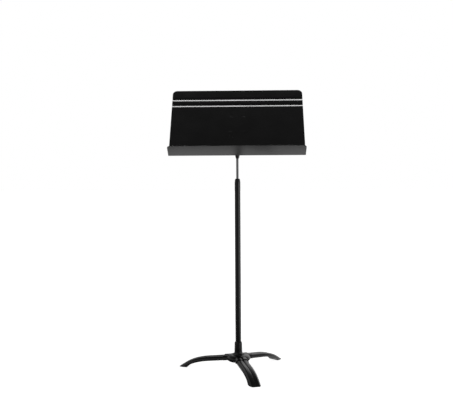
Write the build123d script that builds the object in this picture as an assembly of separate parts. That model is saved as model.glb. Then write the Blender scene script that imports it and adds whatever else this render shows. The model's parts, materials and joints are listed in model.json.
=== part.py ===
from build123d import *
from math import asin, cos, radians, sin, tan
import os

# Free-standing orchestra music stand, in millimetres.
# Everything is drawn about the shaft: the tube's axis is Z and the floor is Z = 0. At the end all
# nodes move together along Y, so that the row's origin is the bottom centre of the whole stand.
# -Y is the player's side, +X is the player's right hand as they face the desk.

# ---- desk: one bent aluminium sheet ----
DESK_WIDTH = 508.0
DESK_HEIGHT = 317.5
SHELF_DEPTH = 60.0
SHEET = 1.6
FOLD_RADIUS = 3.0
TOP_CORNER_RADIUS = 18.0
SHELF_CORNER_RADIUS = 11.0
GROOVE_HEIGHTS = (243.8, 273.4)
GROOVE_HALF_WIDTH = 9.0
GROOVE_DEPTH = 3.2
GROOVE_EDGE_RADIUS = 1.8
DESK_LEAN = 35.0
FOLD_Z = 831.0

# ---- bracket behind the desk, and its rivets ----
PIVOT_UP_DESK = 148.0
PIVOT_BEHIND_DESK = 39.6
EAR_R = 13.0
EAR_SHEET = 3.0
EAR_ROOT_HALF = 30.0
PLATE_UP_DESK = 145.0
PLATE_WIDTH = 70.0
PLATE_HEIGHT = 94.0
PLATE_SHEET = 2.5
PLATE_CORNER_RADIUS = 8.0
RIVET_SPACING_X = 48.5
RIVET_SPACING_UP = 72.0
RIVET_SHANK_R = 2.4
RIVET_HEAD_R = 4.6
RIVET_HEAD_HEIGHT = 1.2
RIVET_HOLE_GAP = 0.1

# ---- tilt bolt and what is threaded on it ----
BOLT_R = 4.0
BOLT_HEAD_HEIGHT = 5.3
BOLT_TAIL = 1.8
NUT_FLATS = 13.0
NUT_HEX_HEIGHT = 6.5
NUT_HEIGHT = 8.0
NUT_CROWN_SHARE = 0.86
HEX_CORNER_SHARE = 0.70
HEX_TOP_SHARE = 0.47
WASHER_R = 8.0
WASHER_SHEET = 1.6
WASHER_GAP = 0.3
FRICTION_WASHER_R = 11.0
FRICTION_WASHER_THICKNESS = 1.5
CUP_OUTER_R = 9.0
CUP_SHEET = 0.9
CUP_RISE = 0.5

# ---- neck: forged socket and tongue on top of the rod ----
TONGUE_THICKNESS = 9.0
TONGUE_GAP = 0.1
NECK_R = 9.0
NECK_TIP_R = 5.6
NECK_TIP_CHAMFER = (0.8, 1.5)
NECK_TIP_Z = 822.0
NECK_SHOULDER_Z = 835.0
NECK_TOP_Z = 892.0
NECK_TOP_CHAMFER = 3.0
NECK_SOCKET_TOP_Z = 880.0
NECK_PIN_Z = 862.0
NECK_PIN_R = 1.6
NECK_PIN_LENGTH = 17.0

# ---- rod and its guide bush ----
ROD_R = 4.75
ROD_BOTTOM_Z = 262.0
JOURNAL_R = 4.0
GUIDE_HEIGHT = 19.4
GUIDE_CHAMFER = 1.0
END_GAP = 0.3
RUNNING_GAP = 0.05
END_WASHER_R = 7.5
SCREW_R = 2.5
SCREW_LENGTH = 14.0
SCREW_HEAD_R = 4.5
SCREW_HEAD_HEIGHT = 3.0
SCREW_SOCKET_R = 1.75
SCREW_SOCKET_DEPTH = 1.8

# ---- tube and friction clutch ----
TUBE_R = 11.0
TUBE_WALL = 1.5
TUBE_BOTTOM_Z = 52.0
TUBE_TOP_Z = 729.0
CAP_SPIGOT = 9.0
CAP_BAND = 1.5
CAP_BORE_R = 5.1
CAP_TOP_Z = 744.0
CAP_SHOULDER_R = 9.4
CAP_SHOULDER_DROP = 2.2
CAP_TOP_R = 8.0
CLUTCH_BOTTOM_Z = 684.0
CLUTCH_WASHER_HEIGHT = 3.0
HOUSING_BORE_R = 6.6
FINGER_OUTER_R = 5.7
FINGER_COUNT = 6
FINGER_SLOT = 1.0
FINGER_SLOT_SHARE = 0.72
RING_WIRE_R = 0.35
RING_SHARES = (0.15, 0.4)

# ---- hub, collar and the bolt under them ----
HUB_R = 47.0
HUB_RIM_R = 40.0
HUB_BOTTOM_Z = 38.0
HUB_RIM_Z = 46.0
HUB_TOP_Z = 60.0
COLLAR_TOP_Z = 109.0
COLLAR_TOP_R = 14.5
COLLAR_TOP_CHAMFER = (1.2, 3.0)
COLLAR_BOTTOM_R = 15.6
COLLAR_FLARE_R = 22.0
COLLAR_FLARE_HEIGHT = 13.0
POCKET_OUTER_R = 28.0
POCKET_INNER_R = 15.0
POCKET_TOP_Z = 50.0
HUB_PLATE_SHEET = 2.5
HUB_PLATE_R = 38.0
BASE_BOLT_R = 4.0
BASE_BOLT_TOP_Z = 74.0
BASE_WASHER_R = 12.0
LOCK_WASHER_SHEET = 1.8
LOCK_WASHER_CUT = 1.0
LOCK_WASHER_CUT_TURN = 30.0
INSERT_TOP_Z = 78.0

# ---- legs: pressed channels with two lobes and a groove between them ----
LEG_AZIMUTHS = {"front": -73.5, "right": 46.5, "left": 166.5}
LEG_ROOT_R = 31.0
LEG_ROOT_Z = 41.0
LEG_SLOPE = 6.5
LEG_BEND_R = 121.0
LEG_BEND_RADIUS = 270.0
ANKLE_SLOPE = 17.0
ANKLE_BEND_RADIUS = 170.0
FOOT_SLOPE = 33.0
HEEL_TOP_R = 185.0
HEEL_TOP_Z = 17.2
HEEL_BOTTOM_R = 206.0
LEG_ROOT_HALF_WIDTH = 23.5
LEG_FOOT_HALF_WIDTH = 21.8
LEG_CROWN = 14.1
LEG_GROOVE_DEPTH = 3.4
FOOT_GROOVE_DEPTH = 0.5
LOBE_SHARE = 0.47
LEG_SHEET = 2.5
TAIL_BELOW_FLOOR = 16.0
SLEEVE_END_R = 56.0
SLEEVE_WALL = 2.6

# ---- feet ----
PAD_THICKNESS = 2.5
PAD_PLUG_TOP_Z = 12.0

# ---- drawing aids ----
FIT_GAP = 0.1
EDGE_TOL = 0.01
REACH = 2 * DESK_WIDTH


def tube_piece(outer_r, inner_r, bottom_z, top_z):
    """A plain ring about Z."""
    height = top_z - bottom_z
    ring = Cylinder(outer_r, height) - Cylinder(inner_r, 2 * height)
    return Pos(0, 0, (bottom_z + top_z) / 2) * ring


def turned(points):
    """A solid turned about Z from an outline of (radius, height) points."""
    outline = Plane.XZ * make_face(Polyline(points, close=True))
    return revolve(outline, Axis.Z)


def hexagon(across_flats, height, bottom_z=0.0):
    """A hexagon head or nut blank that stands on bottom_z, its corners turned down."""
    blank = extrude(RegularPolygon(across_flats / 2, 6, major_radius=False), height)
    crown = Cone(across_flats * HEX_CORNER_SHARE, across_flats * HEX_TOP_SHARE, height)
    blank = blank & Pos(0, 0, height / 2) * crown
    return Pos(0, 0, bottom_z) * blank


# ---- places that follow from the driving dimensions ----
lean = radians(DESK_LEAN)
pivot_y = 0.0
fold_y = -(PIVOT_UP_DESK * sin(lean) + PIVOT_BEHIND_DESK * cos(lean))
pivot_z = FOLD_Z + PIVOT_UP_DESK * cos(lean) - PIVOT_BEHIND_DESK * sin(lean)
tube_bore_r = TUBE_R - TUBE_WALL
ear_inner_x = TONGUE_THICKNESS / 2 + TONGUE_GAP + FRICTION_WASHER_THICKNESS
ear_outer_x = ear_inner_x + EAR_SHEET

# The desk's own axes: X across it, Y up its face from the fold, Z out of its face to the player.
DESK = Plane(
    origin=(0, fold_y, FOLD_Z),
    x_dir=(1, 0, 0),
    z_dir=(0, -cos(lean), sin(lean)),
)


# ---- desk body ----
def desk_front_line():
    """The face line of the sheet, from the shelf's front edge to the desk's top edge.

    Drawn in (out, up): the shelf's upper face is up = 0 and the desk's face is out = 0.
    """
    points = [(SHELF_DEPTH, 0), (0, 0)]
    for height in GROOVE_HEIGHTS:
        points.append((0, height - GROOVE_HALF_WIDTH))
        points.append((-GROOVE_DEPTH, height))
        points.append((0, height + GROOVE_HALF_WIDTH))
    points.append((0, DESK_HEIGHT))
    radii = [FOLD_RADIUS] + [GROOVE_EDGE_RADIUS] * (3 * len(GROOVE_HEIGHTS))
    return points, radii


def make_desk_panel():
    """The desk and its shelf are one bent sheet, with two V grooves pressed across it."""
    points, radii = desk_front_line()
    with BuildSketch(Plane((0, 0, 0), x_dir=(0, 0, 1), z_dir=(-1, 0, 0))) as section:
        with BuildLine():
            FilletPolyline(*points, radius=radii)
            offset(amount=SHEET, side=Side.LEFT)
        make_face()
    sheet = extrude(section.sketch, DESK_WIDTH / 2, both=True)
    top_edges = sheet.edges().filter_by(Axis.Z)
    top_edges = top_edges.filter_by_position(Axis.Y, DESK_HEIGHT - EDGE_TOL, DESK_HEIGHT + EDGE_TOL)
    sheet = fillet(top_edges, TOP_CORNER_RADIUS)
    shelf_edges = sheet.edges().filter_by(Axis.Y)
    shelf_edges = shelf_edges.filter_by_position(Axis.Z, SHELF_DEPTH - EDGE_TOL, SHELF_DEPTH + EDGE_TOL)
    sheet = fillet(shelf_edges, SHELF_CORNER_RADIUS)
    for place in rivet_places():
        sheet -= place * Cylinder(RIVET_SHANK_R + RIVET_HOLE_GAP, 6 * SHEET)
    return DESK * sheet


def rivet_places():
    """The four rivets, a rectangle about the middle of the bracket's plate."""
    centre = Pos(0, PLATE_UP_DESK, 0)
    return [centre * spot for spot in GridLocations(RIVET_SPACING_X, RIVET_SPACING_UP, 2, 2)]


def make_desk_rivets():
    """Solid rivets with a low domed head on the desk's face and another behind the plate."""
    back = -(SHEET + PLATE_SHEET)
    cap_r = (RIVET_HEAD_R**2 + RIVET_HEAD_HEIGHT**2) / (2 * RIVET_HEAD_HEIGHT)
    half_turn = asin(RIVET_HEAD_R / cap_r) / 2
    dome_r = cap_r * sin(half_turn)
    dome_height = RIVET_HEAD_HEIGHT - cap_r * (1 - cos(half_turn))
    with BuildSketch(Plane.XZ) as outline:
        with BuildLine():
            ThreePointArc((0, RIVET_HEAD_HEIGHT), (dome_r, dome_height), (RIVET_HEAD_R, 0))
            Polyline(
                (RIVET_HEAD_R, 0),
                (RIVET_SHANK_R, 0),
                (RIVET_SHANK_R, back),
                (RIVET_HEAD_R, back),
            )
            ThreePointArc(
                (RIVET_HEAD_R, back),
                (dome_r, back - dome_height),
                (0, back - RIVET_HEAD_HEIGHT),
            )
            Line((0, back - RIVET_HEAD_HEIGHT), (0, RIVET_HEAD_HEIGHT))
        make_face()
    rivet = revolve(outline.sketch, Axis.Z)
    return Compound([DESK * place * rivet for place in rivet_places()])


def ear_face():
    """One ear of the bracket, drawn in (up the desk, behind it)."""
    root = -(SHEET + PLATE_SHEET / 2)
    eye = Pos(PIVOT_UP_DESK, -PIVOT_BEHIND_DESK) * Circle(EAR_R)
    foot = Line(
        (PIVOT_UP_DESK - EAR_ROOT_HALF, root),
        (PIVOT_UP_DESK + EAR_ROOT_HALF, root),
    )
    return make_hull(eye.edges() + foot.edges())


def make_desk_bracket():
    """Steel plate riveted behind the desk, with two ears that hold the pivot bolt."""
    plate_mid = -(SHEET + PLATE_SHEET / 2)
    blank = RectangleRounded(PLATE_WIDTH, PLATE_HEIGHT, PLATE_CORNER_RADIUS)
    plate = extrude(Pos(0, PLATE_UP_DESK, plate_mid) * blank, PLATE_SHEET / 2, both=True)
    across = Plane((0, 0, 0), x_dir=(0, 1, 0), z_dir=(1, 0, 0))
    ear = extrude(across * ear_face(), EAR_SHEET)
    bracket = plate + Pos(ear_inner_x, 0, 0) * ear + Pos(-ear_outer_x, 0, 0) * ear
    bore = Rot(0, 90, 0) * Cylinder(BOLT_R + RUNNING_GAP, 4 * ear_outer_x)
    bracket -= Pos(0, PIVOT_UP_DESK, -PIVOT_BEHIND_DESK) * bore
    for place in rivet_places():
        bracket -= place * Cylinder(RIVET_SHANK_R + RIVET_HOLE_GAP, 6 * (SHEET + PLATE_SHEET))
    return DESK * bracket


def on_pivot(piece, x=0.0):
    """Lay a piece drawn about Z along the pivot's axis, its base at x, pointing to +X."""
    return Pos(x, pivot_y, pivot_z) * Rot(0, 90, 0) * piece


def flat_washer(outer_r, thickness):
    return tube_piece(outer_r, BOLT_R + WASHER_GAP, 0, thickness)


def cup_washer(flipped):
    """A conical spring washer, its inner edge raised, or its outer edge where flipped."""
    inner_r = BOLT_R + WASHER_GAP
    low, high = (CUP_RISE, 0.0) if not flipped else (0.0, CUP_RISE)
    return turned([
        (inner_r, low),
        (CUP_OUTER_R, high),
        (CUP_OUTER_R, high + CUP_SHEET),
        (inner_r, low + CUP_SHEET),
    ])


def make_pivot_hardware():
    """The bolt through the ears and tongue, and what is threaded on it."""
    head_x = -ear_outer_x - WASHER_SHEET
    cups_x = ear_outer_x
    cup_height = CUP_SHEET + CUP_RISE
    nut_washer_x = cups_x + 2 * cup_height
    nut_x = nut_washer_x + WASHER_SHEET
    bolt_length = nut_x + NUT_HEIGHT + BOLT_TAIL - head_x
    shank = Pos(0, 0, bolt_length / 2) * Cylinder(BOLT_R, bolt_length)
    bolt = shank + hexagon(NUT_FLATS, BOLT_HEAD_HEIGHT, -BOLT_HEAD_HEIGHT)
    nut = hexagon(NUT_FLATS, NUT_HEX_HEIGHT)
    nut += tube_piece(NUT_FLATS / 2 * NUT_CROWN_SHARE, BOLT_R, NUT_HEX_HEIGHT, NUT_HEIGHT)
    nut -= Cylinder(BOLT_R + RUNNING_GAP, 4 * NUT_HEIGHT)
    cups = [cup_washer(False), Pos(0, 0, cup_height) * cup_washer(True)]
    friction = flat_washer(FRICTION_WASHER_R, FRICTION_WASHER_THICKNESS)
    friction_places = (-ear_inner_x, ear_inner_x - FRICTION_WASHER_THICKNESS)
    washer = flat_washer(WASHER_R, WASHER_SHEET)
    return {
        "pivot_bolt": on_pivot(bolt, head_x),
        "lock_nut": on_pivot(nut, nut_x),
        "spring_washers": Compound([on_pivot(cup, cups_x) for cup in cups]),
        "pivot_washers": Compound([on_pivot(washer, head_x), on_pivot(washer, nut_washer_x)]),
        "friction_washers": Compound([on_pivot(friction, x) for x in friction_places]),
    }


# ---- mast body: neck and rod ----
def make_neck():
    """Forged neck: a socket for the rod, and above it a flat tongue for the pivot bolt."""
    chamfer_out, chamfer_up = NECK_TIP_CHAMFER
    socket = turned([
        (0, NECK_TIP_Z),
        (NECK_TIP_R, NECK_TIP_Z),
        (NECK_TIP_R + chamfer_out, NECK_TIP_Z + chamfer_up),
        (NECK_R, NECK_SHOULDER_Z),
        (NECK_R, NECK_TOP_Z - NECK_TOP_CHAMFER),
        (NECK_R - NECK_TOP_CHAMFER, NECK_TOP_Z),
        (0, NECK_TOP_Z),
    ])
    eye = Pos(pivot_y, pivot_z) * Circle(EAR_R)
    foot = Line((-NECK_R, NECK_SOCKET_TOP_Z), (NECK_R, NECK_SOCKET_TOP_Z))
    across = Plane((0, 0, 0), x_dir=(0, 1, 0), z_dir=(1, 0, 0))
    tongue = extrude(across * make_hull(eye.edges() + foot.edges()), TONGUE_THICKNESS / 2, both=True)
    neck = socket + tongue
    neck -= on_pivot(Cylinder(BOLT_R + RUNNING_GAP, 4 * TONGUE_THICKNESS))
    neck -= tube_hole(ROD_R + RUNNING_GAP, NECK_TIP_Z - 1, NECK_SOCKET_TOP_Z)
    neck -= pin_across(NECK_PIN_R + RUNNING_GAP, 4 * NECK_R)
    return neck


def tube_hole(radius, bottom_z, top_z):
    height = top_z - bottom_z
    return Pos(0, 0, bottom_z + height / 2) * Cylinder(radius, height)


def pin_across(radius, length):
    return Pos(0, 0, NECK_PIN_Z) * Rot(0, 90, 0) * Cylinder(radius, length)


def make_inner_rod():
    """Plated rod with a turned-down journal at its foot for the guide bush."""
    journal_top = ROD_BOTTOM_Z + GUIDE_HEIGHT + 2 * END_GAP
    rod = tube_hole(ROD_R, journal_top, NECK_SOCKET_TOP_Z - END_GAP)
    rod += tube_hole(JOURNAL_R, ROD_BOTTOM_Z, journal_top)
    rod -= tube_hole(SCREW_R + RUNNING_GAP, ROD_BOTTOM_Z - 1, ROD_BOTTOM_Z + SCREW_LENGTH + END_GAP)
    rod -= pin_across(NECK_PIN_R + RUNNING_GAP, 4 * ROD_R)
    return rod


def make_neck_pin():
    """Slotted roll pin through the neck and the rod."""
    pin = pin_across(NECK_PIN_R, NECK_PIN_LENGTH)
    pin -= pin_across(NECK_PIN_R / 2, 4 * NECK_R)
    return pin


def make_rod_end():
    """The washer and screw that keep the guide bush on the rod."""
    washer_bottom = ROD_BOTTOM_Z - WASHER_SHEET
    washer = tube_piece(END_WASHER_R, SCREW_R + RUNNING_GAP, washer_bottom, ROD_BOTTOM_Z)
    head = tube_hole(SCREW_HEAD_R, washer_bottom - SCREW_HEAD_HEIGHT, washer_bottom)
    screw = head + tube_hole(SCREW_R, washer_bottom, ROD_BOTTOM_Z + SCREW_LENGTH)
    socket = extrude(RegularPolygon(SCREW_SOCKET_R, 6), SCREW_SOCKET_DEPTH)
    screw -= Pos(0, 0, washer_bottom - SCREW_HEAD_HEIGHT) * socket
    return {"rod_end_washer": washer, "rod_end_screw": screw}


# ---- glide body ----
def make_rod_guide():
    """Nylon bush that slides in the tube while the rod turns in it."""
    bottom = ROD_BOTTOM_Z + END_GAP
    top = bottom + GUIDE_HEIGHT
    outer_r = tube_bore_r - RUNNING_GAP
    return turned([
        (JOURNAL_R + RUNNING_GAP, bottom),
        (outer_r - GUIDE_CHAMFER, bottom),
        (outer_r, bottom + GUIDE_CHAMFER),
        (outer_r, top - GUIDE_CHAMFER),
        (outer_r - GUIDE_CHAMFER, top),
        (JOURNAL_R + RUNNING_GAP, top),
    ])


# ---- base body: tube and clutch ----
def make_outer_tube():
    return tube_piece(TUBE_R, tube_bore_r, TUBE_BOTTOM_Z, TUBE_TOP_Z)


def make_clutch():
    """Friction clutch: split nylon fingers, squeezed on the rod by two spring rings."""
    housing_r = tube_bore_r - RUNNING_GAP
    washer_top = CLUTCH_BOTTOM_Z + CLUTCH_WASHER_HEIGHT
    housing_top = TUBE_TOP_Z - CAP_SPIGOT
    washer = tube_piece(housing_r, ROD_R + 2 * END_GAP, CLUTCH_BOTTOM_Z, washer_top)
    housing = tube_piece(housing_r, HOUSING_BORE_R, washer_top, housing_top)
    finger_top = housing_top + CAP_SPIGOT / 2
    finger_height = finger_top - washer_top
    fingers = tube_piece(FINGER_OUTER_R, ROD_R + RUNNING_GAP, washer_top, finger_top)
    slot_height = finger_height * FINGER_SLOT_SHARE
    slot_z = washer_top + slot_height / 2
    for turn in range(FINGER_COUNT // 2):
        slot = Box(FINGER_SLOT, 4 * FINGER_OUTER_R, slot_height)
        fingers -= Pos(0, 0, slot_z) * Rot(0, 0, turn * 360 / FINGER_COUNT) * slot
    ring_r = FINGER_OUTER_R + RING_WIRE_R + RUNNING_GAP
    ring_heights = [washer_top + finger_height * share for share in RING_SHARES]
    rings = [Pos(0, 0, height) * Torus(ring_r, RING_WIRE_R) for height in ring_heights]
    cap = turned([
        (CAP_BORE_R, housing_top),
        (housing_r, housing_top),
        (housing_r, TUBE_TOP_Z),
        (TUBE_R, TUBE_TOP_Z),
        (TUBE_R, TUBE_TOP_Z + CAP_BAND),
        (CAP_SHOULDER_R, CAP_TOP_Z - CAP_SHOULDER_DROP),
        (CAP_TOP_R, CAP_TOP_Z),
        (CAP_BORE_R, CAP_TOP_Z),
    ])
    cap -= tube_hole(FINGER_OUTER_R + RUNNING_GAP, housing_top - 1, finger_top)
    return {
        "clutch_washer": washer,
        "clutch_housing": housing,
        "clutch_fingers": fingers,
        "clutch_rings": Compound(rings),
        "clutch_cap": cap,
    }


# ---- base body: hub, legs and feet ----
def channel_outline(half_width, crown, groove, skirt=0.0):
    """The filled outline of a leg: two rounded lobes and a groove between them.

    skirt carries the sides straight down below the outline's base line.
    """
    lobe = half_width * LOBE_SHARE
    with BuildSketch() as outline:
        with BuildLine():
            side = (half_width - lobe, crown)
            flank = (lobe, groove)
            EllipticalCenterArc((-lobe, 0), *side, start_angle=90, arc_size=90)
            EllipticalCenterArc((-lobe, crown - groove), *flank, start_angle=0, arc_size=90)
            EllipticalCenterArc((lobe, crown - groove), *flank, start_angle=90, arc_size=90)
            EllipticalCenterArc((lobe, 0), *side, start_angle=0, arc_size=90)
            base = -skirt - EDGE_TOL
            Polyline((half_width, 0), (half_width, base), (-half_width, base), (-half_width, 0))
        make_face()
    return outline.sketch


def leg_path():
    """The line of a leg's shoulders, in the plane of radius and height, down past the floor."""
    root = (LEG_ROOT_R, LEG_ROOT_Z)
    bend_start_z = LEG_ROOT_Z - (LEG_BEND_R - LEG_ROOT_R) * tan(radians(LEG_SLOPE))
    run = Line(root, (LEG_BEND_R, bend_start_z))
    bend = JernArc(run @ 1, run % 1, LEG_BEND_RADIUS, LEG_SLOPE - ANKLE_SLOPE)
    ankle = JernArc(bend @ 1, bend % 1, ANKLE_BEND_RADIUS, ANKLE_SLOPE - FOOT_SLOPE)
    tail_start = ankle @ 1
    tail_length = (tail_start.Y + TAIL_BELOW_FLOOR) / sin(radians(FOOT_SLOPE))
    tail = Line(tail_start, tail_start + (ankle % 1) * tail_length)
    return Plane.XZ * Wire([run, bend, ankle, tail])


def leg_sweep(grow=0.0, skirt=0.0):
    """The leg's outline carried along its path, grown outward by grow (or inward, where negative)."""
    path = leg_path()
    ends = []
    for share, half_width, groove in (
        (0, LEG_ROOT_HALF_WIDTH, LEG_GROOVE_DEPTH),
        (1, LEG_FOOT_HALF_WIDTH, FOOT_GROOVE_DEPTH),
    ):
        frame = Plane(path @ share, x_dir=(0, 1, 0), z_dir=path % share)
        outline = channel_outline(half_width + grow, LEG_CROWN + grow, groove, skirt)
        ends.append(frame * outline)
    return sweep(ends, path=path, multisection=True)


def leg_solid(grow=0.0):
    """A leg filled in from end to end, its sides carried down to the floor in front of the heel."""
    heel_slope = HEEL_TOP_Z / (HEEL_BOTTOM_R - HEEL_TOP_R)
    toe_z = -heel_slope * (REACH - HEEL_BOTTOM_R)
    side = Polyline(
        (HEEL_TOP_R, HEEL_TOP_Z),
        (HEEL_TOP_R, REACH),
        (REACH, REACH),
        (REACH, toe_z),
        close=True,
    )
    foot_block = extrude(Plane.XZ * make_face(side), LEG_ROOT_HALF_WIDTH + SLEEVE_WALL, both=True)
    return leg_sweep(grow) + (leg_sweep(grow, HEEL_TOP_Z) & foot_block)


def above(height):
    """Everything higher than a height, out past the feet."""
    return Pos(0, 0, height + REACH / 2) * Box(REACH, REACH, REACH)


def slab(bottom_z, top_z):
    """Everything between two heights, out past the feet."""
    return Pos(0, 0, (bottom_z + top_z) / 2) * Box(REACH, REACH, top_z - bottom_z)


def around(azimuth, piece):
    return Rot(0, 0, azimuth) * piece


def make_leg():
    """Pressed channel leg, open underneath, drawn along +X."""
    leg = leg_solid() - leg_sweep(grow=-LEG_SHEET, skirt=HEEL_TOP_Z + LEG_SHEET)
    return leg & above(PAD_THICKNESS)


def make_foot_pad():
    """Rubber sole under the foot, with a plug that fills the end of the channel."""
    sole = leg_solid() & slab(0, PAD_THICKNESS)
    plug = leg_solid(grow=-LEG_SHEET - FIT_GAP) & slab(PAD_THICKNESS, PAD_PLUG_TOP_Z)
    return sole + plug


def make_hub_shell():
    """Cast centre of the base: a low dome with a short sleeve for each leg."""
    with BuildSketch(Plane.XZ) as outline:
        with BuildLine():
            Line((0, HUB_BOTTOM_Z), (HUB_RIM_R, HUB_BOTTOM_Z))
            EllipticalCenterArc(
                (HUB_RIM_R, HUB_RIM_Z),
                HUB_R - HUB_RIM_R,
                HUB_RIM_Z - HUB_BOTTOM_Z,
                start_angle=-90,
                arc_size=90,
            )
            EllipticalCenterArc(
                (COLLAR_FLARE_R, HUB_RIM_Z),
                HUB_R - COLLAR_FLARE_R,
                HUB_TOP_Z - HUB_RIM_Z,
                start_angle=0,
                arc_size=90,
            )
            Polyline((COLLAR_FLARE_R, HUB_TOP_Z), (0, HUB_TOP_Z), (0, HUB_BOTTOM_Z))
        make_face()
    hub = revolve(outline.sketch, Axis.Z)
    slope = radians(LEG_SLOPE)
    sleeve_outline = channel_outline(
        LEG_ROOT_HALF_WIDTH + SLEEVE_WALL, LEG_CROWN + SLEEVE_WALL, LEG_GROOVE_DEPTH
    )
    sleeve_root = Plane(
        (LEG_ROOT_R, 0, LEG_ROOT_Z), x_dir=(0, 1, 0), z_dir=(cos(slope), 0, -sin(slope))
    )
    sleeve = extrude(sleeve_root * sleeve_outline, (SLEEVE_END_R - LEG_ROOT_R) / cos(slope))
    leg_cut = leg_sweep(grow=FIT_GAP, skirt=LEG_ROOT_Z)
    for azimuth in LEG_AZIMUTHS.values():
        hub += around(azimuth, sleeve)
    for azimuth in LEG_AZIMUTHS.values():
        hub -= around(azimuth, leg_cut)
    hub -= tube_piece(POCKET_OUTER_R, POCKET_INNER_R, HUB_BOTTOM_Z - 1, POCKET_TOP_Z)
    hub -= tube_hole(TUBE_R + RUNNING_GAP, TUBE_BOTTOM_Z, HUB_TOP_Z + 1)
    hub -= tube_hole(BASE_BOLT_R + WASHER_GAP, HUB_BOTTOM_Z - 1, TUBE_BOTTOM_Z + 1)
    return hub


def make_hub_collar():
    """Tapered neck that the tube stands in, flared where it meets the hub."""
    bore_r = TUBE_R + RUNNING_GAP
    flare_top_z = HUB_TOP_Z + COLLAR_FLARE_HEIGHT
    chamfer_in, chamfer_drop = COLLAR_TOP_CHAMFER
    with BuildSketch(Plane.XZ) as outline:
        with BuildLine():
            Line((bore_r, HUB_TOP_Z), (COLLAR_FLARE_R, HUB_TOP_Z))
            EllipticalCenterArc(
                (COLLAR_FLARE_R, flare_top_z),
                COLLAR_FLARE_R - COLLAR_BOTTOM_R,
                COLLAR_FLARE_HEIGHT,
                start_angle=180,
                arc_size=90,
            )
            Polyline(
                (COLLAR_BOTTOM_R, flare_top_z),
                (COLLAR_TOP_R, COLLAR_TOP_Z - chamfer_drop),
                (COLLAR_TOP_R - chamfer_in, COLLAR_TOP_Z),
                (bore_r, COLLAR_TOP_Z),
                (bore_r, HUB_TOP_Z),
            )
        make_face()
    return revolve(outline.sketch, Axis.Z)


def make_base_hardware():
    """The bolt up through the hub that draws the tube down into it, and its washers."""
    plate_bottom = HUB_BOTTOM_Z - HUB_PLATE_SHEET
    washer_bottom = plate_bottom - WASHER_SHEET
    lock_bottom = washer_bottom - LOCK_WASHER_SHEET
    hole_r = BASE_BOLT_R + WASHER_GAP
    plate = tube_piece(HUB_PLATE_R, hole_r, plate_bottom, HUB_BOTTOM_Z)
    washer = tube_piece(BASE_WASHER_R, hole_r, washer_bottom, plate_bottom)
    lock_washer = tube_piece(NUT_FLATS / 2, hole_r, lock_bottom, washer_bottom)
    cut = Rot(LOCK_WASHER_CUT_TURN, 0, 0) * Box(NUT_FLATS, LOCK_WASHER_CUT, NUT_FLATS)
    lock_washer -= Pos(NUT_FLATS / 2, 0, lock_bottom) * cut
    insert = tube_piece(tube_bore_r - RUNNING_GAP, BASE_BOLT_R + RUNNING_GAP, TUBE_BOTTOM_Z, INSERT_TOP_Z)
    bolt = hexagon(NUT_FLATS, BOLT_HEAD_HEIGHT, lock_bottom - BOLT_HEAD_HEIGHT)
    bolt += tube_hole(BASE_BOLT_R, lock_bottom, BASE_BOLT_TOP_Z)
    return {
        "hub_plate": plate,
        "base_washer": washer,
        "base_lock_washer": lock_washer,
        "tube_insert": insert,
        "base_bolt": bolt,
    }


def make_nodes():
    nodes = {
        "desk_panel": make_desk_panel(),
        "desk_rivets": make_desk_rivets(),
        "desk_bracket": make_desk_bracket(),
        "neck": make_neck(),
        "neck_pin": make_neck_pin(),
        "inner_rod": make_inner_rod(),
        "rod_guide": make_rod_guide(),
        "outer_tube": make_outer_tube(),
        "hub_shell": make_hub_shell(),
        "hub_collar": make_hub_collar(),
    }
    nodes.update(make_pivot_hardware())
    nodes.update(make_rod_end())
    nodes.update(make_clutch())
    nodes.update(make_base_hardware())
    leg = make_leg()
    pad = make_foot_pad()
    for side, azimuth in LEG_AZIMUTHS.items():
        nodes["leg_" + side] = around(azimuth, leg)
        nodes["foot_pad_" + side] = around(azimuth, pad)
    return nodes


def row_shift(nodes):
    """The move along Y that puts the row's origin under the middle of the whole stand."""
    box = Compound(list(nodes.values())).bounding_box()
    return Pos(0, -(box.min.Y + box.max.Y) / 2, 0)


nodes = make_nodes()
shift = row_shift(nodes)
os.makedirs("parts", exist_ok=True)
for name, shape in nodes.items():
    export_step(shift * shape, "parts/" + name + ".step")
shaft_y = shift.position.Y
print("shaft axis at y =", round(shaft_y, 3))
print("pivot at z =", round(pivot_z, 3))
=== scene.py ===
import bmesh
import bpy
import json
from math import cos, pi, radians, sin
from mathutils import Matrix, Vector


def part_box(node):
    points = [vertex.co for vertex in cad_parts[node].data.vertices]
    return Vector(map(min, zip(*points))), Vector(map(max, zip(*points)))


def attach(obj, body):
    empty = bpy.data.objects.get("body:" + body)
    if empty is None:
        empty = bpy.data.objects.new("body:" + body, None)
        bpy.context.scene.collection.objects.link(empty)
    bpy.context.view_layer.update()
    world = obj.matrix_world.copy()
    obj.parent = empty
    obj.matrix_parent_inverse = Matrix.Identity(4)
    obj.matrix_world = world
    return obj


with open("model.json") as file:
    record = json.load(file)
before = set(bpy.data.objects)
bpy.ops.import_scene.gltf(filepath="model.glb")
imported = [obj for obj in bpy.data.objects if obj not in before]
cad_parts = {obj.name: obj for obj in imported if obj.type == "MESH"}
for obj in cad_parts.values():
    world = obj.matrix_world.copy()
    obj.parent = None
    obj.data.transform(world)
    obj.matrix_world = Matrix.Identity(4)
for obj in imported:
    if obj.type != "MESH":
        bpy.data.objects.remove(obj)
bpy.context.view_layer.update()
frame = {"nodes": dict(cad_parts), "record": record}

# ---- places taken from the frame, in metres ----
tube_low, tube_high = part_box("outer_tube")
SHAFT = Vector(((tube_low.x + tube_high.x) / 2, (tube_low.y + tube_high.y) / 2, 0.0))

# ---- camera: its place from the foot of the shaft, its lens, and how it is turned ----
EYE = Vector((0.0446, -2.7194, 0.7605))
LENS_MM = 55.88
SENSOR_MM = 36.0
PITCH_DEG = 2.077
YAW_DEG = 1.845
ROLL_DEG = -0.313
CLIP = (0.05, 200.0)

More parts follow.
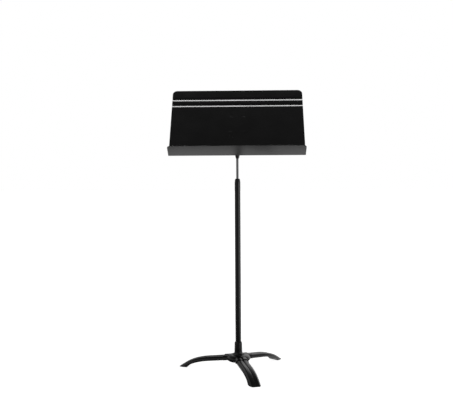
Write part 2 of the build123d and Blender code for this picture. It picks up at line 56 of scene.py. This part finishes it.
# ---- floor and backdrop, as the camera sees them ----
FLOOR_HALF = 30.0
FLOOR_COLOR = (0.80, 0.80, 0.80, 1.0)
FLOOR_ROUGHNESS = 0.9
FLOOR_GLOW = 0.92
WHITE_BACKDROP = 1.0
WHITE = (1.0, 1.0, 1.0, 1.0)

# ---- the room, as the gloss of the paint sees it: how bright each side is ----
FRONT_LIGHT = 0.14
LEFT_LIGHT = 0.40
RIGHT_LIGHT = 1.5
BACK_LEFT_LIGHT = 0.22
BACK_RIGHT_LIGHT = 0.95
UPPER_WALL_LIGHT = 0.20
HIGH_LEFT_LIGHT = 0.8
HIGH_RIGHT_LIGHT = 1.3
OVERHEAD_LIGHT = 0.10
FLOOR_BACK_GAIN = 0.4
WALL_RIGHT_GAIN = 1.6

# ---- where one side gives way to the next: shares of a heading to the right, or to the back ----
RIGHT_SIDE = (0.35, 0.75)
LEFT_SIDE = (-0.35, -0.80)
BACK_SIDES = (-0.35, 0.35)
BACK_SHARE = (-0.1, 0.4)
RIGHT_GAIN_SIDE = (0.2, 0.7)
UPPER_WALL_BACK = (0.75, 0.35)
HIGH_RIGHT_SIDE = (-0.30, 0.0)
HIGH_RIGHT_BACK = (0.50, 0.85)
HIGH_LEFT_SIDE = (-0.30, -0.60)

# ---- how high the walls and the lit band above them reach, as the upward share of a direction ----
WALL_TOP = (0.02, 0.20)
HIGH_FROM = (0.28, 0.42)
HIGH_TO = (0.50, 0.70)

# ---- the floor near the base: in shade, but for a lit patch behind the tube ----
NEAR_FLOOR_R = (0.50, 1.20)
SHADE_LIGHT = 0.05
PATCH_LIGHT = 1.35
PATCH_FROM_Y = (0.02, 0.12)
PATCH_HALF_X = (0.50, 0.40)

# ---- the long light close above the desk ----
TOP_BOX_PLACE = Vector((0.0, 0.36, 1.75))
TOP_BOX_AIM = Vector((0.0, 0.0, 1.0))
TOP_BOX_SIZE = (1.2, 0.22)
TOP_BOX_WATTS = 7.5

# ---- finishes shared by several materials ----
BLUE_TINT = 1.02
NOISE_ROUGHNESS = 0.55
EDGE_WEAR_RADIUS = 0.0008
EDGE_WEAR_SAMPLES = 6
EDGE_WEAR_DOT = (0.995, 0.90)  # no wear, and full wear
CLOUD_RANGE = (0.3, 0.7)

# ---- powder coat: slow waves, cloudy tone, rubbed patches, scratches ----
COAT_WAVE_SHARE = 0.22
COAT_WAVE_HEIGHT = 0.8
COAT_BUMP = 0.5
COAT_CLOUD_PER_M = 14.0
COAT_CLOUD_TONES = (0.8, 1.25)
COAT_RUB_PER_M = 55.0
COAT_RUB_RANGE = (0.58, 0.74)
COAT_RUB_SHARE = 0.25
COAT_RUB_TONE = 1.8
COAT_WORN_TONE = 4.0
SCRATCH_PER_M = 260.0
SCRATCH_STRETCH = (1.0, 0.12, 0.12)
SCRATCH_RANGE = (0.66, 0.74)
SCRATCH_PATCH_PER_M = 18.0
SCRATCH_PATCH_RANGE = (0.52, 0.66)
SCRATCH_SHARE = 0.35
SCRATCH_TONE = 5.0
SCRATCH_ROUGHNESS = 0.1

# ---- metal: brushed lines and dull stains ----
METAL_SPOTS_PER_M = 90.0
METAL_SPOT_RANGE = (0.52, 0.72)
METAL_STAIN_TONE = 0.55
METAL_STAIN_ROUGHNESS = 0.15
METAL_WORN_SHARE = 0.3
METAL_WORN_TONE = 1.4
METAL_WORN_RADIUS = EDGE_WEAR_RADIUS * 0.5
METAL_LINE_ROUGHNESS = (0.8, 1.3)
METAL_BUMP = 0.15
METAL_BUMP_HEIGHT = 0.00005

# ---- nylon and rubber: moulded grain and dust ----
POLYMER_CLOUD_PER_M = 30.0
POLYMER_DARK_TONE = 0.8
POLYMER_DUST_PER_M = 120.0
POLYMER_DUST_RANGE = (0.60, 0.75)
POLYMER_DUST_SHARE = 0.25
POLYMER_DUST_TONE = (0.7, 0.08)  # share of the clean colour, and what is added to it
POLYMER_ROUGHNESS_SPREAD = 0.08
POLYMER_BUMP = 0.3
POLYMER_BUMP_HEIGHT = 0.00015

# ---- edges of the CAD nodes ----
SEAM_GAP = 2e-6
FLAT_DEG = 0.3
EDGE_DEG = 32.0
EDGE_SEGMENTS = 2
EDGE_WIDTHS = {
    "desk_panel": 0.0003,
    "desk_bracket": 0.0004,
    "neck": 0.0004,
    "clutch_cap": 0.0004,
    "hub_collar": 0.0004,
    "pivot_bolt": 0.0002,
    "lock_nut": 0.0002,
    "pivot_washers": 0.0002,
    "outer_tube": 0.0002,
}

# ---- weld beads, with offsets given in bead radii ----
LEG_AZIMUTH_DEG = {"front": -73.5, "right": 46.5, "left": 166.5}
SLEEVE_END_R = 0.056
SECTION_BIN = 0.0012
WELD_R = 0.0015
WELD_STEP = 0.0006
WELD_SCALE_PITCH = 0.0024
WELD_SCALE_DEPTH = 0.16
WELD_DRIFTS = ((0.137, 0.7, 0.08), (0.311, 0.0, 0.05))  # pace, start and depth of each slow wave
SLEEVE_WELD_OUT = 0.4
SLEEVE_WELD_UP = 0.5
COLLAR_WELD_OUT = 0.1
COLLAR_WELD_UP = 0.35
COLLAR_WELD_POINTS = 160

# ---- tilt bolt ----
BOLT_R = 0.004
THREAD_PITCH = 0.00125
THREAD_R = 0.0003
THREAD_POINTS = 36
THREAD_SIDES = 6
THREAD_RUN_OUT = 4.0
THREAD_END_SHARE = 0.05
INSERT_R = 0.0005
INSERT_POINTS = 64
INSERT_SIDES = 8

# ---- beads and threads are tubes round a path; the hint is a direction that no path follows ----
TUBE_SIDES = 10
TUBE_LEAST_POINTS = 8
TUBE_HINT = Vector((0.3, 0.2, 0.93))


# ---------------------------------------------------------------- node helpers
class Shader:
    """A material or world node tree, with short calls for the nodes that this scene uses."""

    def __init__(self, tree):
        self.tree = tree
        self.tree.nodes.clear()

    def node(self, kind, **values):
        made = self.tree.nodes.new(kind)
        for name, value in values.items():
            setattr(made, name, value)
        return made

    def link(self, source, target):
        self.tree.links.new(source, target)

    def feed(self, socket, value):
        """Join a socket to another node's output, or set it to a plain value."""
        if isinstance(value, bpy.types.NodeSocket):
            self.link(value, socket)
        else:
            socket.default_value = value

    def math(self, operation, *values):
        made = self.node("ShaderNodeMath", operation=operation)
        for socket, value in zip(made.inputs, values):
            self.feed(socket, value)
        return made.outputs[0]

    def ramp(self, value, low, high, to_low=0.0, to_high=1.0):
        """Map value from low..high to to_low..to_high, with a soft start and end."""
        made = self.node("ShaderNodeMapRange", interpolation_type="SMOOTHSTEP")
        for socket, amount in zip(made.inputs, (value, low, high, to_low, to_high)):
            self.feed(socket, amount)
        return made.outputs[0]

    def noise(self, coords, per_m, detail):
        made = self.node("ShaderNodeTexNoise")
        self.link(coords, made.inputs["Vector"])
        made.inputs["Scale"].default_value = per_m
        made.inputs["Detail"].default_value = detail
        made.inputs["Roughness"].default_value = NOISE_ROUGHNESS
        return made.outputs["Fac"]

    def mix_color(self, factor, first, second):
        """first at factor 0, second at factor 1; sockets 6, 7 and 2 are the Mix node's colours."""
        made = self.node("ShaderNodeMix", data_type="RGBA")
        self.feed(made.inputs["Factor"], factor)
        self.feed(made.inputs[6], first)
        self.feed(made.inputs[7], second)
        return made.outputs[2]

    def blend(self, first, second, factor):
        """first at factor 0, second at factor 1; sockets 0, 2, 3 and 0 are the Mix node's numbers."""
        made = self.node("ShaderNodeMix", data_type="FLOAT")
        self.feed(made.inputs[0], factor)
        self.feed(made.inputs[2], first)
        self.feed(made.inputs[3], second)
        return made.outputs[0]

    def object_coords(self):
        return self.node("ShaderNodeTexCoord").outputs["Object"]

    def axes(self, coords):
        made = self.node("ShaderNodeSeparateXYZ")
        self.link(coords, made.inputs[0])
        return made.outputs

    def stretched(self, coords, stretch):
        """Coordinates times a stretch along each axis."""
        made = self.node("ShaderNodeVectorMath", operation="MULTIPLY")
        self.link(coords, made.inputs[0])
        made.inputs[1].default_value = stretch
        return made.outputs[0]

    def bump(self, height, strength, distance, normal=None):
        made = self.node("ShaderNodeBump")
        made.inputs["Strength"].default_value = strength
        made.inputs["Distance"].default_value = distance
        self.link(height, made.inputs["Height"])
        if normal is not None:
            self.link(normal, made.inputs["Normal"])
        return made.outputs[0]


def new_material(name):
    material = bpy.data.materials.new(name)
    material.use_nodes = True
    return material, Shader(material.node_tree)


def principled_surface(shader, color, roughness, normal=None, metallic=0.0):
    """A Principled shader whose colour and roughness are plain values or other nodes' outputs."""
    principled = shader.node("ShaderNodeBsdfPrincipled")
    shader.feed(principled.inputs["Base Color"], color)
    shader.feed(principled.inputs["Roughness"], roughness)
    principled.inputs["Metallic"].default_value = metallic
    if normal is not None:
        shader.link(normal, principled.inputs["Normal"])
    return principled


def show(shader, socket):
    """Send a shader to the material's output."""
    output = shader.node("ShaderNodeOutputMaterial")
    shader.link(socket, output.inputs["Surface"])


def grey(level):
    return (level, level, level * BLUE_TINT, 1.0)


# ---------------------------------------------------------------- materials
def edge_wear(shader, radius):
    """1 along outer edges and 0 on flat faces, by how far a rounded normal leaves the true one."""
    rounded = shader.node("ShaderNodeBevel", samples=EDGE_WEAR_SAMPLES)
    rounded.inputs["Radius"].default_value = radius
    true_normal = shader.node("ShaderNodeNewGeometry").outputs["True Normal"]
    dot = shader.node("ShaderNodeVectorMath", operation="DOT_PRODUCT")
    shader.link(rounded.outputs[0], dot.inputs[0])
    shader.link(true_normal, dot.inputs[1])
    return shader.ramp(dot.outputs["Value"], *EDGE_WEAR_DOT), rounded.outputs[0]


def scratches(shader, coords):
    """Thin broken lines, in patches, longer along the axes whose stretch is small."""
    lines = shader.noise(shader.stretched(coords, SCRATCH_STRETCH), SCRATCH_PER_M, detail=2.0)
    patches = shader.noise(coords, SCRATCH_PATCH_PER_M, detail=2.0)
    return shader.math("MULTIPLY", shader.ramp(lines, *SCRATCH_RANGE),
                       shader.ramp(patches, *SCRATCH_PATCH_RANGE))


def coat_material(name, level, grain_per_m, grain_height, roughness, spread, wear):
    """Black powder coat: grain, slow changes of tone, rubbed patches, scratches and worn edges."""
    material, shader = new_material(name)
    coords = shader.object_coords()
    grain = shader.noise(coords, grain_per_m, detail=2.0)
    wave = shader.noise(coords, grain_per_m * COAT_WAVE_SHARE, detail=1.0)
    cloud = shader.noise(coords, COAT_CLOUD_PER_M, detail=4.0)
    rubbed = shader.ramp(shader.noise(coords, COAT_RUB_PER_M, detail=5.0), *COAT_RUB_RANGE)
    worn, rounded = edge_wear(shader, EDGE_WEAR_RADIUS)
    lines = scratches(shader, coords)
    dark, pale = COAT_CLOUD_TONES
    color = shader.mix_color(cloud, grey(level * dark), grey(level * pale))
    for amount, share, tone in ((rubbed, COAT_RUB_SHARE, COAT_RUB_TONE),
                                (lines, SCRATCH_SHARE, SCRATCH_TONE),
                                (worn, wear, COAT_WORN_TONE)):
        color = shader.mix_color(shader.math("MULTIPLY", amount, share), color, grey(level * tone))
    rough = shader.ramp(cloud, *CLOUD_RANGE, roughness - spread, roughness + spread)
    rough = shader.math("SUBTRACT", rough, shader.math("MULTIPLY", rubbed, spread))
    rough = shader.math("ADD", rough, shader.math("MULTIPLY", lines, SCRATCH_ROUGHNESS))
    normal = shader.bump(wave, COAT_BUMP, grain_height * COAT_WAVE_HEIGHT, rounded)
    normal = shader.bump(grain, COAT_BUMP, grain_height, normal)
    show(shader, principled_surface(shader, color, rough, normal).outputs[0])
    return material


def metal_material(name, level, roughness, lines_per_m, stretch, stain):
    """Plated or bare steel: fine lines, drawn out along an axis of small stretch, and faint stains."""
    material, shader = new_material(name)
    coords = shader.object_coords()
    lines = shader.noise(shader.stretched(coords, stretch), lines_per_m, detail=4.0)
    spots = shader.noise(coords, METAL_SPOTS_PER_M, detail=6.0)
    dull = shader.math("MULTIPLY", shader.ramp(spots, *METAL_SPOT_RANGE), stain)
    worn, rounded = edge_wear(shader, METAL_WORN_RADIUS)
    color = shader.mix_color(dull, grey(level), grey(level * METAL_STAIN_TONE))
    color = shader.mix_color(shader.math("MULTIPLY", worn, METAL_WORN_SHARE), color,
                             grey(min(1.0, level * METAL_WORN_TONE)))
    least, most = METAL_LINE_ROUGHNESS
    rough = shader.ramp(lines, *CLOUD_RANGE, roughness * least, roughness * most)
    rough = shader.math("ADD", rough, shader.math("MULTIPLY", dull, METAL_STAIN_ROUGHNESS))
    normal = shader.bump(lines, METAL_BUMP, METAL_BUMP_HEIGHT, rounded)
    show(shader, principled_surface(shader, color, rough, normal, metallic=1.0).outputs[0])
    return material


def polymer_material(name, color, roughness, grain_per_m):
    """Nylon or rubber with a moulded grain and a little dust in it."""
    material, shader = new_material(name)
    coords = shader.object_coords()
    grain = shader.noise(coords, grain_per_m, detail=3.0)
    cloud = shader.noise(coords, POLYMER_CLOUD_PER_M, detail=3.0)
    dust = shader.ramp(shader.noise(coords, POLYMER_DUST_PER_M, detail=5.0), *POLYMER_DUST_RANGE)
    share, lift = POLYMER_DUST_TONE
    dark = tuple(channel * POLYMER_DARK_TONE for channel in color[:3]) + (1.0,)
    dusty = tuple(channel * share + lift for channel in color[:3]) + (1.0,)
    mixed = shader.mix_color(cloud, dark, color)
    mixed = shader.mix_color(shader.math("MULTIPLY", dust, POLYMER_DUST_SHARE), mixed, dusty)
    rough = shader.ramp(cloud, *CLOUD_RANGE, roughness - POLYMER_ROUGHNESS_SPREAD,
                        roughness + POLYMER_ROUGHNESS_SPREAD)
    normal = shader.bump(grain, POLYMER_BUMP, POLYMER_BUMP_HEIGHT)
    show(shader, principled_surface(shader, mixed, rough, normal).outputs[0])
    return material


MATERIALS = {
    "desk_coat": coat_material("desk_coat", level=0.0048, grain_per_m=1300.0, grain_height=0.00004,
                               roughness=0.20, spread=0.02, wear=0.3),
    "frame_coat": coat_material("frame_coat", level=0.0055, grain_per_m=900.0, grain_height=0.00002,
                                roughness=0.31, spread=0.03, wear=0.35),
    "plated_steel": metal_material("plated_steel", level=0.15, roughness=0.16, lines_per_m=900.0,
                                   stretch=(1.0, 1.0, 0.05), stain=0.3),
    "zinc_steel": metal_material("zinc_steel", level=0.50, roughness=0.32, lines_per_m=700.0,
                                 stretch=(1.0, 1.0, 1.0), stain=0.6),
    "spring_steel": metal_material("spring_steel", level=0.22, roughness=0.35, lines_per_m=700.0,
                                   stretch=(1.0, 1.0, 1.0), stain=0.5),
    "nylon": polymer_material("nylon", color=(0.70, 0.68, 0.62, 1.0), roughness=0.45, grain_per_m=500.0),
    "rubber": polymer_material("rubber", color=(0.016, 0.016, 0.017, 1.0), roughness=0.7, grain_per_m=900.0),
}


# ---------------------------------------------------------------- CAD nodes
def soften(node, width):
    """Join the seams of a CAD mesh, clear its flat faces of triangles, and round its edges."""
    mesh = node.data
    if "custom_normal" in mesh.attributes:
        mesh.attributes.remove(mesh.attributes["custom_normal"])
    for polygon in mesh.polygons:
        polygon.use_smooth = True
    for edge in mesh.edges:
        edge.use_edge_sharp = False
    weld = node.modifiers.new("weld", "WELD")
    weld.merge_threshold = SEAM_GAP
    flatten = node.modifiers.new("flatten", "DECIMATE")
    flatten.decimate_type = "DISSOLVE"
    flatten.angle_limit = radians(FLAT_DEG)
    bevel = node.modifiers.new("edges", "BEVEL")
    bevel.width = width
    bevel.segments = EDGE_SEGMENTS
    bevel.limit_method = "ANGLE"
    bevel.angle_limit = radians(EDGE_DEG)
    bevel.harden_normals = True
    bevel.use_clamp_overlap = False


def dress_cad_nodes():
    """Every CAD node takes its slot's material; the large ones get soft edges too."""
    slot_of = {part["node"]: part["material_slot"] for part in frame["record"]["subparts"]}
    for name, node in frame["nodes"].items():
        node.data.materials.clear()
        node.data.materials.append(MATERIALS[slot_of[name]])
        if name in EDGE_WIDTHS:
            soften(node, EDGE_WIDTHS[name])


# ---------------------------------------------------------------- details
def new_piece(name, slot, body, vertices, faces):
    """A mesh piece in the record's material slot, smooth, and riding on a CAD body."""
    mesh = bpy.data.meshes.new(name)
    mesh.from_pydata(vertices, [], faces)
    mesh.validate()
    for polygon in mesh.polygons:
        polygon.use_smooth = True
    mesh.materials.append(MATERIALS[slot])
    piece = bpy.data.objects.new(name, mesh)
    bpy.context.scene.collection.objects.link(piece)
    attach(piece, body)


def tube_mesh(path, radius_at, closed, sides=TUBE_SIDES):
    """Vertices and faces of a tube along a path, its radius given at each point."""
    vertices = []
    faces = []
    count = len(path)
    for index, point in enumerate(path):
        ahead = path[(index + 1) % count] if closed or index + 1 < count else point
        before = path[index - 1] if closed or index > 0 else point
        along = (ahead - before).normalized()
        across = along.cross(TUBE_HINT).normalized()
        upward = across.cross(along)
        radius = radius_at(index)
        for side in range(sides):
            angle = 2 * pi * side / sides
            vertices.append(point + radius * (cos(angle) * across + sin(angle) * upward))
    for index in range(count if closed else count - 1):
        low = index * sides
        high = ((index + 1) % count) * sides
        for side in range(sides):
            turn = (side + 1) % sides
            faces.append((low + side, low + turn, high + turn, high + side))
    if not closed:
        faces.append(tuple(range(sides)))
        faces.append(tuple(reversed(range((count - 1) * sides, count * sides))))
    return vertices, faces


def bead_radius(index):
    """A weld bead's radius at one point of its path: round scales along it, not all of one size."""
    phase = 2 * pi * index * WELD_STEP / WELD_SCALE_PITCH
    drift = sum(sin(phase * pace + start) * depth for pace, start, depth in WELD_DRIFTS)
    return WELD_R * (1.0 + WELD_SCALE_DEPTH * abs(sin(phase / 2)) - WELD_SCALE_DEPTH / 2 + drift)


def evenly(path, step, closed):
    """The same line with points a fixed step apart."""
    line = list(path) + ([path[0]] if closed else [])
    lengths = [(b - a).length for a, b in zip(line, line[1:])]
    total = sum(lengths)
    count = max(TUBE_LEAST_POINTS, round(total / step))
    spots = []
    for index in range(count if closed else count + 1):
        distance = total * index / count
        for start, end, length in zip(line, line[1:], lengths):
            if distance <= length or (start, end) == (line[-2], line[-1]):
                spots.append(start.lerp(end, min(1.0, distance / length)))
                break
            distance -= length
    return spots


def leg_section(side, radius):
    """The outer line of a leg where a plane cuts it, from one lower edge over the top to the other."""
    azimuth = radians(LEG_AZIMUTH_DEG[side])
    outward = Vector((cos(azimuth), sin(azimuth), 0.0))
    lateral = Vector((-sin(azimuth), cos(azimuth), 0.0))
    place = SHAFT + outward * radius
    cut = bmesh.new()
    cut.from_mesh(frame["nodes"]["leg_" + side].data)
    parts = cut.verts[:] + cut.edges[:] + cut.faces[:]
    found = bmesh.ops.bisect_plane(cut, geom=parts, plane_co=place, plane_no=outward)
    points = [v.co.copy() for v in found["geom_cut"] if isinstance(v, bmesh.types.BMVert)]
    cut.free()
    highest = {}
    for point in points:
        across = round((point - place).dot(lateral) / SECTION_BIN)
        if across not in highest or point.z > highest[across].z:
            highest[across] = point
    return [highest[across] for across in sorted(highest)]


def make_sleeve_welds():
    """A bead where each leg goes into its sleeve on the hub."""
    vertices = []
    faces = []
    rise = Vector((0, 0, WELD_R * SLEEVE_WELD_UP))
    for side in LEG_AZIMUTH_DEG:
        line = leg_section(side, SLEEVE_END_R + WELD_R * SLEEVE_WELD_OUT)
        path = evenly([point + rise for point in line], WELD_STEP, False)
        bead, quads = tube_mesh(path, bead_radius, False)
        start = len(vertices)
        vertices.extend(bead)
        faces.extend(tuple(start + corner for corner in quad) for quad in quads)
    new_piece("sleeve_welds", "frame_coat", "base", vertices, faces)


def circle_line(centre, radius, count, tilt=None):
    """Points round a circle in the plane of X and Y, or turned by tilt."""
    points = []
    for index in range(count):
        angle = 2 * pi * index / count
        point = Vector((cos(angle), sin(angle), 0.0)) * radius
        points.append(centre + (tilt @ point if tilt else point))
    return points


def make_collar_weld():
    """A bead round the flared foot of the collar."""
    low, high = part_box("hub_collar")
    centre = Vector((SHAFT.x, SHAFT.y, low.z + WELD_R * COLLAR_WELD_UP))
    radius = (high.x - low.x) / 2 + WELD_R * COLLAR_WELD_OUT
    path = evenly(circle_line(centre, radius, COLLAR_WELD_POINTS), WELD_STEP, True)
    new_piece("collar_weld", "frame_coat", "base", *tube_mesh(path, bead_radius, True))


def make_bolt_thread():
    """The turns of thread that show on the tilt bolt past its lock nut."""
    nut_low, nut_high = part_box("lock_nut")
    bolt_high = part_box("pivot_bolt")[1]
    centre = (nut_low + nut_high) / 2
    length = bolt_high.x - nut_high.x
    turns = length / THREAD_PITCH
    count = round(turns * THREAD_POINTS)
    path = []
    for index in range(count + 1):
        angle = 2 * pi * turns * index / count
        x = nut_high.x + length * index / count
        path.append(Vector((x, centre.y + BOLT_R * cos(angle), centre.z + BOLT_R * sin(angle))))

    def crest(index):
        run_in = THREAD_RUN_OUT * index / count
        run_out = THREAD_RUN_OUT * (count - index) / count + THREAD_END_SHARE
        return THREAD_R * min(1.0, run_in, run_out)

    new_piece("bolt_thread", "zinc_steel", "desk", *tube_mesh(path, crest, False, THREAD_SIDES))


def make_nut_insert():
    """The nylon ring that stands a little out of the lock nut's end."""
    nut_low, nut_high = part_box("lock_nut")
    centre = Vector((nut_high.x, (nut_low.y + nut_high.y) / 2, (nut_low.z + nut_high.z) / 2))
    tilt = Matrix.Rotation(radians(90), 3, "Y")
    path = circle_line(centre, BOLT_R + INSERT_R, INSERT_POINTS, tilt)
    new_piece("nut_insert", "nylon", "desk", *tube_mesh(path, lambda index: INSERT_R, True, INSERT_SIDES))


def make_details():
    make_sleeve_welds()
    make_collar_weld()
    make_bolt_thread()
    make_nut_insert()


# ---------------------------------------------------------------- studio
def heading(shader, x, y):
    """How far (x, y) reaches, and how much of that lies to the right and to the back."""
    squares = [shader.math("MULTIPLY", value, value) for value in (x, y)]
    reach = shader.math("SQRT", shader.math("ADD", *squares))
    return reach, shader.math("DIVIDE", x, reach), shader.math("DIVIDE", y, reach)


def room_light(shader, side, behind):
    """How bright the room is all round, as the gloss of the paint sees it."""
    level = shader.blend(FRONT_LIGHT, RIGHT_LIGHT, shader.ramp(side, *RIGHT_SIDE))
    level = shader.blend(level, LEFT_LIGHT, shader.ramp(side, *LEFT_SIDE))
    back = shader.ramp(side, *BACK_SIDES, BACK_LEFT_LIGHT, BACK_RIGHT_LIGHT)
    return shader.blend(level, back, shader.ramp(behind, *BACK_SHARE))


def seen_and_reflected(shader, seen, reflected):
    """One shader for the camera's own rays and another for all other rays."""
    pick = shader.node("ShaderNodeMixShader")
    shader.link(shader.node("ShaderNodeLightPath").outputs["Is Camera Ray"], pick.inputs[0])
    shader.link(reflected, pick.inputs[1])
    shader.link(seen, pick.inputs[2])
    return pick.outputs[0]


def floor_light(shader):
    """How bright each spot of the floor looks in a reflection."""
    x, y = shader.axes(shader.object_coords())[:2]
    from_shaft = shader.math("SUBTRACT", y, SHAFT.y)
    distance, side, behind = heading(shader, x, from_shaft)
    level = room_light(shader, side, behind)
    level = shader.math("MULTIPLY", level, shader.ramp(behind, *BACK_SHARE, 1.0, FLOOR_BACK_GAIN))
    in_patch = shader.math("MULTIPLY", shader.ramp(from_shaft, *PATCH_FROM_Y),
                           shader.ramp(shader.math("ABSOLUTE", x), *PATCH_HALF_X))
    near = shader.blend(SHADE_LIGHT, PATCH_LIGHT, in_patch)
    return shader.blend(near, level, shader.ramp(distance, *NEAR_FLOOR_R))


def make_floor():
    mesh = bpy.data.meshes.new("floor")
    reach = FLOOR_HALF
    corners = [(-reach, -reach, 0), (reach, -reach, 0), (reach, reach, 0), (-reach, reach, 0)]
    mesh.from_pydata(corners, [], [(0, 1, 2, 3)])
    floor = bpy.data.objects.new("floor", mesh)
    bpy.context.scene.collection.objects.link(floor)
    material, shader = new_material("floor_white")
    principled = principled_surface(shader, FLOOR_COLOR, FLOOR_ROUGHNESS)
    principled.inputs["Emission Color"].default_value = WHITE
    principled.inputs["Emission Strength"].default_value = FLOOR_GLOW
    glow = shader.node("ShaderNodeEmission")
    shader.link(floor_light(shader), glow.inputs["Strength"])
    show(shader, seen_and_reflected(shader, principled.outputs[0], glow.outputs[0]))
    mesh.materials.append(material)


def sky_light(shader):
    """How bright each direction above the floor looks in a reflection."""
    direction = shader.node("ShaderNodeTexCoord").outputs["Generated"]
    x, y, z = shader.axes(direction)[:3]
    side, behind = heading(shader, x, y)[1:]
    level = room_light(shader, side, behind)
    level = shader.math("MULTIPLY", level, shader.ramp(side, *RIGHT_GAIN_SIDE, 1.0, WALL_RIGHT_GAIN))
    upper_wall = shader.math("MULTIPLY", shader.ramp(z, *WALL_TOP), shader.ramp(behind, *UPPER_WALL_BACK))
    level = shader.blend(level, UPPER_WALL_LIGHT, upper_wall)
    right = shader.math("MULTIPLY", shader.ramp(side, *HIGH_RIGHT_SIDE),
                        shader.ramp(behind, *HIGH_RIGHT_BACK))
    high = shader.blend(OVERHEAD_LIGHT, HIGH_RIGHT_LIGHT, right)
    high = shader.blend(high, HIGH_LEFT_LIGHT, shader.ramp(side, *HIGH_LEFT_SIDE))
    level = shader.blend(level, high, shader.ramp(z, *HIGH_FROM))
    return shader.blend(level, OVERHEAD_LIGHT, shader.ramp(z, *HIGH_TO))


def make_world():
    """A white backdrop for the eye, and a darker room with a bright right side in reflections."""
    world = bpy.data.worlds.new("studio")
    bpy.context.scene.world = world
    world.use_nodes = True
    shader = Shader(world.node_tree)
    lit = shader.node("ShaderNodeBackground")
    lit.inputs["Color"].default_value = WHITE
    shader.link(sky_light(shader), lit.inputs["Strength"])
    seen = shader.node("ShaderNodeBackground")
    seen.inputs["Color"].default_value = WHITE
    seen.inputs["Strength"].default_value = WHITE_BACKDROP
    output = shader.node("ShaderNodeOutputWorld")
    shader.link(seen_and_reflected(shader, seen.outputs[0], lit.outputs[0]), output.inputs["Surface"])


def make_lights():
    """One long light above the desk, unseen by the camera, that lights only the desk's sheet."""
    lamp = bpy.data.lights.new("top_box", "AREA")
    lamp.shape = "RECTANGLE"
    lamp.size, lamp.size_y = TOP_BOX_SIZE
    lamp.energy = TOP_BOX_WATTS
    light = bpy.data.objects.new("top_box", lamp)
    bpy.context.scene.collection.objects.link(light)
    place = SHAFT + TOP_BOX_PLACE
    toward = (SHAFT + TOP_BOX_AIM - place).normalized()
    light.matrix_world = Matrix.Translation(place) @ toward.to_track_quat("-Z", "Y").to_matrix().to_4x4()
    light.visible_camera = False
    lit = bpy.data.collections.new("lit_by_top_box")
    lit.objects.link(frame["nodes"]["desk_panel"])
    light.light_linking.receiver_collection = lit


def make_camera():
    data = bpy.data.cameras.new("camera")
    data.sensor_fit = "HORIZONTAL"
    data.sensor_width = SENSOR_MM
    data.lens = LENS_MM
    data.clip_start, data.clip_end = CLIP
    camera = bpy.data.objects.new("camera", data)
    bpy.context.scene.collection.objects.link(camera)
    turn = Matrix.Rotation(radians(YAW_DEG), 4, "Z")
    turn = turn @ Matrix.Rotation(radians(90 - PITCH_DEG), 4, "X")
    turn = turn @ Matrix.Rotation(radians(ROLL_DEG), 4, "Z")
    camera.matrix_world = Matrix.Translation(SHAFT + EYE) @ turn
    bpy.context.scene.camera = camera


make_camera()
make_world()
make_floor()
make_lights()
dress_cad_nodes()
make_details()
bpy.context.scene.view_settings.view_transform = "Standard"
